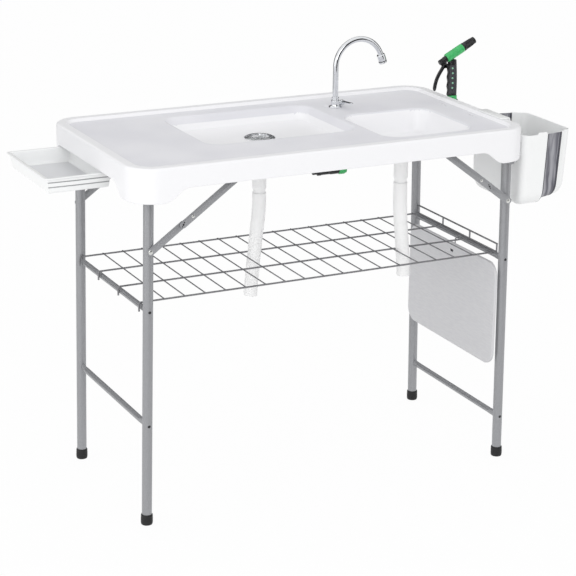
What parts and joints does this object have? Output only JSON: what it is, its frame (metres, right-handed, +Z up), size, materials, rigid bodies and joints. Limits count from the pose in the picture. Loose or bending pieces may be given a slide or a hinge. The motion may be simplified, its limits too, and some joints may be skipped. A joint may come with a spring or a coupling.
{
  "type": "fish cleaning table",
  "caption": "Folding outdoor fish cleaning table with basin, sink, faucet, sprayer, drain hoses, wire shelf, slide-on tray, folding bucket and cutting board.",
  "frame": {"origin": "on the floor under the middle of the assembly", "axes": "+X to the right end with the bucket, +Y to the back, +Z up"},
  "size_m": [1.495, 0.626, 1.184],
  "materials": {
    "moulded_top": "satin blow-moulded polyethylene",
    "white_plastic": "satin moulded plastic",
    "hose_plastic": "ribbed flexible plastic hose",
    "chrome_trim": "polished chrome plate",
    "powder_coated_steel": "satin grey powder coat",
    "shelf_wire": "grey coated wire",
    "foot_rubber": "black ribbed caps",
    "black_plastic": "satin black",
    "green_plastic": "satin green",
    "grey_rubber": "soft grey folding band",
    "board_plastic": "fine-grained cutting board"
  },
  "bodies": {
    "table": {"table_top": "moulded_top", "basin_bowl": "moulded_top", "sink_bowl": "moulded_top", "strainer_flange_left": "chrome_trim", "strainer_flange_right": "chrome_trim", "drain_tail_left": "white_plastic", "drain_tail_right": "white_plastic", "drain_hose_left": "hose_plastic", "drain_hose_right": "hose_plastic", "faucet_body": "chrome_trim", "faucet_nut": "white_plastic", "water_inlet": "black_plastic", "quick_connector": "green_plastic", "sprayer_holder": "black_plastic", "tray_guide_front": "powder_coated_steel", "tray_guide_back": "powder_coated_steel", "side_rail_front": "powder_coated_steel", "side_rail_back": "powder_coated_steel"},
    "left_strainer": {"strainer_basket_left": "chrome_trim"},
    "right_strainer": {"strainer_basket_right": "chrome_trim"},
    "lever": {"faucet_lever": "chrome_trim"},
    "spout": {"faucet_spout": "chrome_trim", "faucet_aerator": "chrome_trim"},
    "sprayer": {"sprayer_handle": "black_plastic", "sprayer_barrel": "green_plastic", "sprayer_collar": "green_plastic"},
    "nozzle": {"sprayer_nozzle": "black_plastic"},
    "trigger": {"sprayer_trigger": "black_plastic"},
    "flow_knob": {"sprayer_flow_knob": "black_plastic"},
    "tray": {"slide_tray": "white_plastic"},
    "bucket": {"bucket_inner_shell": "white_plastic", "bucket_band": "grey_rubber", "bucket_clip": "white_plastic"},
    "bucket_shell": {"bucket_outer_shell": "white_plastic"},
    "shelf_rail": {"shelf_end_rail": "shelf_wire"},
    "shelf": {"shelf_grid": "shelf_wire"},
    "board": {"cutting_board": "board_plastic"},
    "left_legs": {"left_leg_front": "powder_coated_steel", "left_leg_back": "powder_coated_steel", "left_foot_front": "foot_rubber", "left_foot_back": "foot_rubber", "left_pivot_tube": "powder_coated_steel", "left_upper_crossbar": "powder_coated_steel", "left_lower_crossbar": "powder_coated_steel"},
    "left_lower_links": {"left_brace_lower_front": "powder_coated_steel", "left_brace_lower_back": "powder_coated_steel"},
    "left_upper_links": {"left_brace_upper_front": "powder_coated_steel", "left_brace_upper_back": "powder_coated_steel"},
    "right_legs": {"right_leg_front": "powder_coated_steel", "right_leg_back": "powder_coated_steel", "right_foot_front": "foot_rubber", "right_foot_back": "foot_rubber", "right_pivot_tube": "powder_coated_steel", "right_upper_crossbar": "powder_coated_steel", "right_lower_crossbar": "powder_coated_steel"},
    "right_lower_links": {"right_brace_lower_front": "powder_coated_steel", "right_brace_lower_back": "powder_coated_steel"},
    "right_upper_links": {"right_brace_upper_front": "powder_coated_steel", "right_brace_upper_back": "powder_coated_steel"}
  },
  "joints": [
    {"name": "left_strainer_lift", "type": "slide", "parent": "table", "child": "left_strainer", "axis": [0, 0, 1], "range_m": [0, 0.05]},
    {"name": "right_strainer_lift", "type": "slide", "parent": "table", "child": "right_strainer", "axis": [0, 0, 1], "range_m": [0, 0.05]},
    {"name": "lever_turn", "type": "hinge", "parent": "table", "child": "lever", "pos_m": [0.2298, 0.159, 0.997], "axis": [-1, 0, 0], "range_deg": [0, 90]},
    {"name": "spout_swivel", "type": "hinge", "parent": "table", "child": "spout", "pos_m": [0.2135, 0.159, 1.0056], "axis": [0, 0, 1], "range_deg": [-120, 120]},
    {"name": "sprayer_lift", "type": "slide", "parent": "table", "child": "sprayer", "axis": [0, 0, 1], "range_m": [0, 0.15]},
    {"name": "nozzle_twist", "type": "hinge", "parent": "sprayer", "child": "nozzle", "pos_m": [0.62356, 0.142, 1.12926], "axis": [0.8862, 0, 0.4633], "continuous": true},
    {"name": "trigger_squeeze", "type": "hinge", "parent": "sprayer", "child": "trigger", "pos_m": [0.5625, 0.142, 1.079], "axis": [0, -1, 0], "range_deg": [0, 12], "stiffness_Nm_per_rad": 0.5},
    {"name": "flow_knob_turn", "type": "hinge", "parent": "sprayer", "child": "flow_knob", "pos_m": [0.55444, 0.142, 1.09312], "axis": [0.8862, 0, 0.4633], "range_deg": [0, 180]},
    {"name": "tray_slide", "type": "slide", "parent": "table", "child": "tray", "axis": [-1, 0, 0], "range_m": [0, 0.18]},
    {"name": "bucket_lift", "type": "slide", "parent": "table", "child": "bucket", "axis": [0, 0, 1], "range_m": [0, 0.15]},
    {"name": "bucket_fold", "type": "slide", "parent": "bucket", "child": "bucket_shell", "axis": [-1, 0, 0], "range_m": [0, 0.045], "deforming": ["bucket_band"]},
    {"name": "left_legs_fold", "type": "hinge", "parent": "table", "child": "left_legs", "pos_m": [-0.5325, 0, 0.925], "axis": [0, -1, 0], "range_deg": [0, 90.96], "deforming": ["drain_hose_left", "drain_hose_right"]},
    {"name": "left_lower_brace", "type": "hinge", "parent": "left_legs", "child": "left_lower_links", "pos_m": [-0.53523, 0, 0.762], "axis": [0, -1, 0], "range_deg": [0, 60.97]},
    {"name": "left_upper_brace", "type": "hinge", "parent": "table", "child": "left_upper_links", "pos_m": [-0.2925, 0, 0.935], "axis": [0, -1, 0], "range_deg": [-28.09, 0]},
    {"name": "right_legs_fold", "type": "hinge", "parent": "table", "child": "right_legs", "pos_m": [0.5395, 0, 0.895], "axis": [0, 1, 0], "range_deg": [0, 90.99], "deforming": ["drain_hose_left", "drain_hose_right"]},
    {"name": "right_lower_brace", "type": "hinge", "parent": "right_legs", "child": "right_lower_links", "pos_m": [0.54156, 0, 0.776], "axis": [0, 1, 0], "range_deg": [0, 75.88]},
    {"name": "right_upper_brace", "type": "hinge", "parent": "table", "child": "right_upper_links", "pos_m": [0.3295, 0, 0.935], "axis": [0, 1, 0], "range_deg": [-13.14, 0]},
    {"name": "shelf_rail_slide", "type": "slide", "parent": "table", "child": "shelf_rail", "axis": [-1, 0, 0], "range_m": [0, 1.3668]},
    {"name": "shelf_slide", "type": "slide", "parent": "shelf_rail", "child": "shelf", "axis": [-0.9806, 0, 0.1961], "range_m": [0, 1.3933]},
    {"name": "board_slide", "type": "slide", "parent": "right_legs", "child": "board", "axis": [0, -1, 0], "range_m": [0, 0.6205]}
  ],
  "couplings": [
    {"joint": "left_lower_brace", "follows": "left_legs_fold", "ratio": 0.6702},
    {"joint": "left_upper_brace", "follows": "left_legs_fold", "ratio": -0.30869},
    {"joint": "right_lower_brace", "follows": "right_legs_fold", "ratio": 0.83385},
    {"joint": "right_upper_brace", "follows": "right_legs_fold", "ratio": -0.14434},
    {"joint": "shelf_rail_slide", "follows": "right_legs_fold", "m_per_rad": 0.86},
    {"joint": "shelf_slide", "follows": "left_legs_fold", "m_per_rad": 0.87703},
    {"joint": "board_slide", "follows": "right_legs_fold", "m_per_rad": 0.3904}
  ]
}
